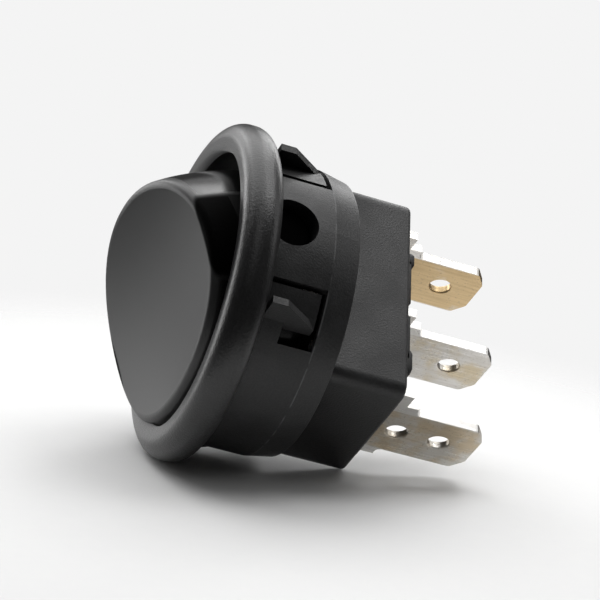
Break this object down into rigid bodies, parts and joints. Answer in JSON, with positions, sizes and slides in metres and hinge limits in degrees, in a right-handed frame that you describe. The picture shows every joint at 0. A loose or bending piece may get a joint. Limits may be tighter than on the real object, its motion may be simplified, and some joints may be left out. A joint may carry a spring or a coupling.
{
  "type": "rocker switch",
  "caption": "Round snap-in rocker switch for a panel hole: dished oval rocker in a rolled flange, barrel with snap arms, rectangular rear block and flat blade terminals.",
  "frame": {"origin": "on the switch's axis, in the rear plane of the flange, which seats on the panel", "axes": "+X along the rocker's pivot; +Y through the panel, from the rocker to the terminals; +Z towards the end of the rocker that stands proud at rest"},
  "size_m": [0.023, 0.0266, 0.023],
  "materials": {
    "housing_plastic": "satin black",
    "base_plastic": "matte black",
    "rocker_plastic": "satin black",
    "plunger_plastic": "natural",
    "terminal_metal": "thin tin plating, worn",
    "contact_metal": "bright",
    "bridge_metal": "rolled",
    "spring_steel": "drawn wire"
  },
  "bodies": {
    "base": {"housing": "housing_plastic", "base_plate": "base_plastic", "upper_terminal": "terminal_metal", "common_terminal": "terminal_metal", "lower_terminal": "terminal_metal", "upper_fixed_contact": "contact_metal", "lower_fixed_contact": "contact_metal"},
    "rocker": {"rocker": "rocker_plastic", "plunger_spring": "spring_steel"},
    "plunger": {"plunger": "plunger_plastic"},
    "bridge": {"contact_bridge": "bridge_metal", "upper_moving_contact": "contact_metal", "lower_moving_contact": "contact_metal"}
  },
  "joints": [
    {"name": "rocker_pivot", "type": "hinge", "parent": "base", "child": "rocker", "pos_m": [0, 0.0011, 0], "axis": [1, 0, 0], "range_deg": [-36, 0]},
    {"name": "plunger_slide", "type": "slide", "parent": "rocker", "child": "plunger", "axis": [0, -0.9511, -0.309], "range_m": [0, 0.0008], "stiffness_N_per_m": 1100, "deforming": ["plunger_spring"]},
    {"name": "bridge_rock", "type": "hinge", "parent": "base", "child": "bridge", "pos_m": [0, 0.00836, -0.00035], "axis": [1, 0, 0], "range_deg": [0, 16]}
  ],
  "couplings": [
    {"joint": "bridge_rock", "follows": "rocker_pivot", "ratio": -0.44444}
  ]
}
